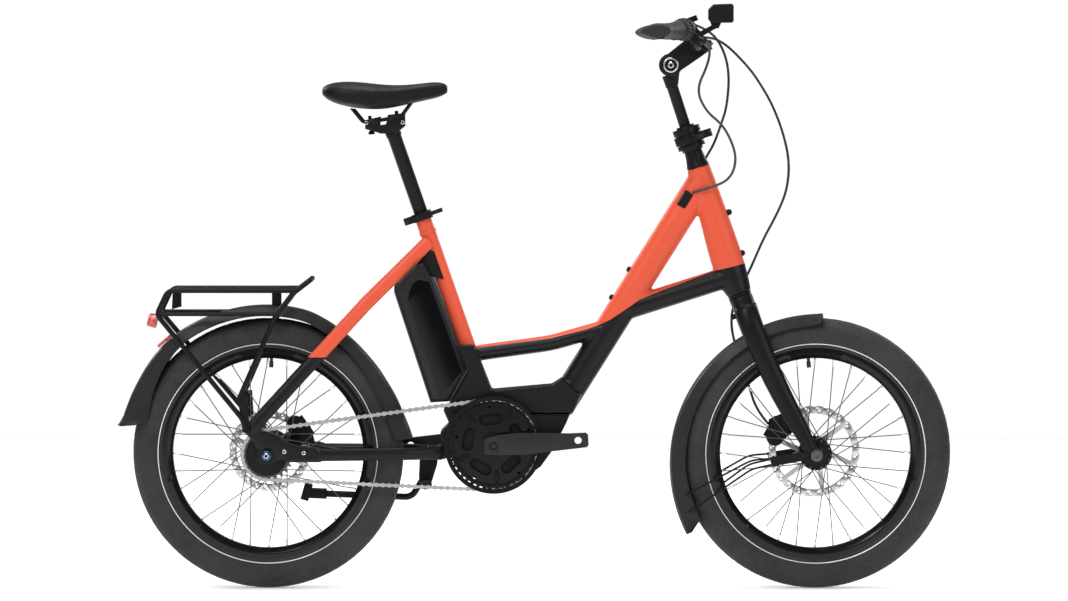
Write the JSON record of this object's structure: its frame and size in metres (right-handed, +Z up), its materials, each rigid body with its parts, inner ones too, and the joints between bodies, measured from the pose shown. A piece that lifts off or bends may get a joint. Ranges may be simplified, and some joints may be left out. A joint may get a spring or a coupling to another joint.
{
  "type": "compact electric bicycle",
  "caption": "Compact electric bicycle with small wheels, a mid motor, a removable battery, a rack, mudguards and a handlebar that turns, lowers and tilts for storage.",
  "frame": {"origin": "on the ground midway between the rear mudguard tip and the front tyre", "axes": "+X towards the front wheel, +Y to the rider's left, +Z up"},
  "size_m": [1.6322, 0.64, 1.1444],
  "materials": {
    "frame_paint": "satin orange paint on the upper frame, matte black below a printed edge",
    "frame_paint_seat": "satin orange paint above a matte black lower end",
    "frame_black": "matte black paint",
    "black_metal": "satin black anodised",
    "black_plastic": "fine moulded grain",
    "motor_black": "matte black cast cover",
    "rack_black": "semi-gloss black powder coat",
    "guard_black": "satin black, lighter edge",
    "red_lens": "clear red lens",
    "dark_steel": "dark steel",
    "chain_steel": "oiled steel links",
    "hose_rubber": "smooth black hose",
    "battery_grey": "satin grey-black",
    "battery_gloss": "gloss black panel",
    "crank_black": "matte black forged",
    "guard_ring": "dark slate",
    "tyre": "matte black rubber with reflective band",
    "rim_black": "gloss black anodised",
    "tube_rubber": "butyl",
    "spoke_steel": "dark spokes, bright nipples",
    "hub_black": "satin black",
    "rotor_steel": "ground stainless",
    "grip_rubber": "ribbed soft rubber",
    "lever_alloy": "satin black",
    "lamp_lens": "clear lens",
    "saddle_cover": "fine grained black cover"
  },
  "bodies": {
    "frame": {"front_frame": "frame_paint", "seat_tube": "frame_paint_seat", "lower_frame": "frame_black", "rear_stays": "frame_black", "headset": "black_metal", "frame_fittings": "black_plastic", "motor_housing": "motor_black", "motor_covers": "motor_black", "battery_lock": "black_plastic", "rear_rack": "rack_black", "rear_mudguard": "guard_black", "rear_lamps": "red_lens", "rear_axle": "dark_steel", "rear_brake_caliper": "black_metal", "stand_bracket": "black_metal", "seat_clamp": "black_metal", "chain": "chain_steel", "hoses_to_frame": "hose_rubber"},
    "battery": {"battery_case": "battery_grey", "battery_panels": "battery_gloss"},
    "crank": {"crankset": "crank_black", "chainring": "dark_steel", "chain_guard": "guard_ring"},
    "sprocket": {"rear_sprocket": "dark_steel"},
    "rear_wheel": {"rear_tyre": "tyre", "rear_rim": "rim_black", "rear_inner_tube": "tube_rubber", "rear_spokes": "spoke_steel", "rear_hub": "hub_black", "rear_rotor": "rotor_steel"},
    "steering": {"fork": "frame_black", "front_axle": "dark_steel", "front_brake_caliper": "black_metal", "front_mudguard": "guard_black", "front_brake_hose": "hose_rubber"},
    "front_wheel": {"front_tyre": "tyre", "front_rim": "rim_black", "front_inner_tube": "tube_rubber", "front_spokes": "spoke_steel", "front_hub": "hub_black", "front_rotor": "rotor_steel"},
    "twist_head": {"twist_clamp": "black_metal"},
    "twist_latch": {"twist_clamp_lever": "black_metal"},
    "telescope": {"mast": "black_metal"},
    "bar": {"stem_arm": "black_metal", "handlebar": "black_metal", "grips": "grip_rubber", "bar_controls": "black_plastic"},
    "shifter": {"twist_shifter": "grip_rubber"},
    "right_lever": {"brake_lever_right": "lever_alloy"},
    "left_lever": {"brake_lever_left": "lever_alloy"},
    "lamp": {"headlight": "black_plastic", "headlight_lens": "lamp_lens"},
    "saddle_post": {"seatpost": "black_metal", "saddle_mount": "black_metal", "saddle_base": "black_plastic", "saddle_cover": "saddle_cover"},
    "seat_latch": {"seat_clamp_lever": "lever_alloy"},
    "stand": {"kickstand": "black_metal", "kickstand_foot": "black_plastic"}
  },
  "joints": [
    {"name": "battery_slide", "type": "slide", "parent": "frame", "child": "battery", "axis": [0, 1, 0], "range_m": [0, 0.15]},
    {"name": "crank_spin", "type": "hinge", "parent": "frame", "child": "crank", "pos_m": [-0.0787, 0, 0.2846], "axis": [0, 1, 0], "continuous": true, "deforming": ["chain"]},
    {"name": "sprocket_spin", "type": "hinge", "parent": "frame", "child": "sprocket", "pos_m": [-0.52092, 0, 0.265], "axis": [0, 1, 0], "continuous": true},
    {"name": "rear_wheel_spin", "type": "hinge", "parent": "frame", "child": "rear_wheel", "pos_m": [-0.52092, 0, 0.265], "axis": [0, 1, 0], "continuous": true},
    {"name": "steer", "type": "hinge", "parent": "frame", "child": "steering", "pos_m": [0.40312, 0, 0.57379], "axis": [-0.309, 0, 0.9511], "range_deg": [-70, 70], "deforming": ["hoses_to_frame"]},
    {"name": "front_wheel_spin", "type": "hinge", "parent": "steering", "child": "front_wheel", "pos_m": [0.55108, 0, 0.265], "axis": [0, 1, 0], "continuous": true},
    {"name": "bar_twist", "type": "hinge", "parent": "steering", "child": "twist_head", "pos_m": [0.40312, 0, 0.57379], "axis": [-0.309, 0, 0.9511], "range_deg": [0, 90], "deforming": ["front_brake_hose"]},
    {"name": "twist_latch", "type": "hinge", "parent": "twist_head", "child": "twist_latch", "pos_m": [0.3396, -0.019, 0.89225], "axis": [-0.309, 0, 0.9511], "range_deg": [0, 95]},
    {"name": "mast_slide", "type": "slide", "parent": "twist_head", "child": "telescope", "axis": [-0.309, 0, 0.9511], "range_m": [-0.075, 0.06]},
    {"name": "stem_tilt", "type": "hinge", "parent": "telescope", "child": "bar", "pos_m": [0.26689, 0, 1.02477], "axis": [0, 1, 0], "range_deg": [-40, 20]},
    {"name": "shifter_twist", "type": "hinge", "parent": "bar", "child": "shifter", "pos_m": [0.28409, -0.168, 1.09263], "axis": [-0.2858, -0.9571, -0.0476], "range_deg": [-60, 60]},
    {"name": "right_lever_pull", "type": "hinge", "parent": "bar", "child": "right_lever", "pos_m": [0.33493, -0.115, 1.06277], "axis": [-0.5549, 0, -0.8319], "range_deg": [0, 15]},
    {"name": "left_lever_pull", "type": "hinge", "parent": "bar", "child": "left_lever", "pos_m": [0.33493, 0.115, 1.06277], "axis": [0.5549, 0, 0.8319], "range_deg": [0, 15]},
    {"name": "lamp_tilt", "type": "hinge", "parent": "bar", "child": "lamp", "pos_m": [0.35449, 0, 1.10117], "axis": [0, 1, 0], "range_deg": [-15, 20]},
    {"name": "saddle_slide", "type": "slide", "parent": "frame", "child": "saddle_post", "axis": [-0.3289, 0, 0.9444], "range_m": [-0.11, 0.06]},
    {"name": "seat_latch", "type": "hinge", "parent": "frame", "child": "seat_latch", "pos_m": [-0.24365, -0.018, 0.72142], "axis": [0.3289, 0, -0.9444], "range_deg": [0, 120]},
    {"name": "stand_swing", "type": "hinge", "parent": "frame", "child": "stand", "pos_m": [-0.2148, 0.047, 0.2155], "axis": [0.0738, -0.8613, -0.5027], "range_deg": [0, 90]}
  ],
  "couplings": [
    {"joint": "sprocket_spin", "follows": "crank_spin", "ratio": 1.8333}
  ]
}
